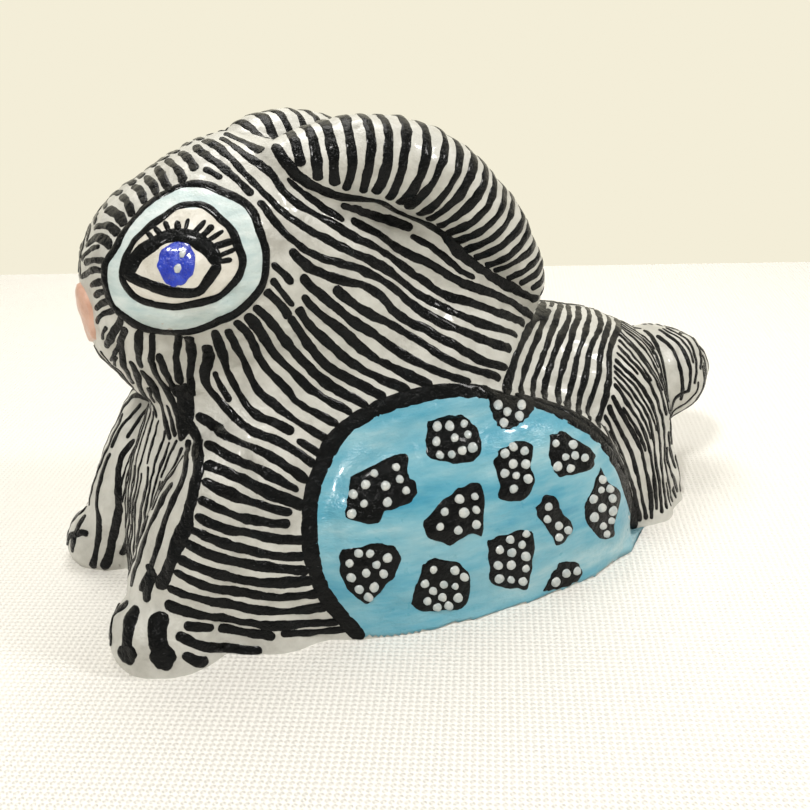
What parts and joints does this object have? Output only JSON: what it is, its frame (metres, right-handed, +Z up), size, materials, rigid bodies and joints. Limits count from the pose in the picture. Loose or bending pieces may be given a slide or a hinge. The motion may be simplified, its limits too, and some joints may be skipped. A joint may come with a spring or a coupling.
{
  "type": "alebrije figure",
  "caption": "Crouching rabbit folk-art figure in painted paper, ears laid back, with striped skin, spotted haunch patches and a flat open base closed by a card.",
  "frame": {"origin": "middle of the footprint, on the plane the figure rests on", "axes": "+Z up; the nose points to -X and the tail to +X; the figure's left side, the one with its haunch in full view, faces -Y"},
  "size_m": [0.174, 0.094, 0.1063],
  "materials": {
    "striped_paper": "off-white acrylic ground with black brushed stripes under gloss varnish, over papier-mache",
    "turquoise_paper": "turquoise acrylic with black spots and raised white dots under gloss varnish, over papier-mache",
    "pink_paper": "pale pink acrylic under varnish, over papier-mache",
    "newspaper": "crumpled newspaper, unpainted",
    "cardboard": "plain grey-brown card",
    "paper_tape": "matt paper tape",
    "wire": "galvanised steel wire"
  },
  "bodies": {
    "root": {"trunk_shell": "striped_paper", "head_shell": "striped_paper", "foreleg_left": "striped_paper", "foreleg_right": "striped_paper", "ear_left": "striped_paper", "ear_right": "striped_paper", "tail_shell": "striped_paper", "haunch_left": "turquoise_paper", "haunch_right": "turquoise_paper", "nose_pad": "pink_paper", "head_core": "newspaper", "chest_core": "newspaper", "rump_core": "newspaper", "tail_core": "newspaper", "haunch_pad_left": "newspaper", "haunch_pad_right": "newspaper", "base_card": "cardboard", "shoulder_tie": "paper_tape", "hip_tie": "paper_tape", "spine_wire": "wire", "leg_wire_left": "wire", "leg_wire_right": "wire", "hind_wire_left": "wire", "hind_wire_right": "wire", "ear_wire_left": "wire", "ear_wire_right": "wire"}
  },
  "joints": []
}
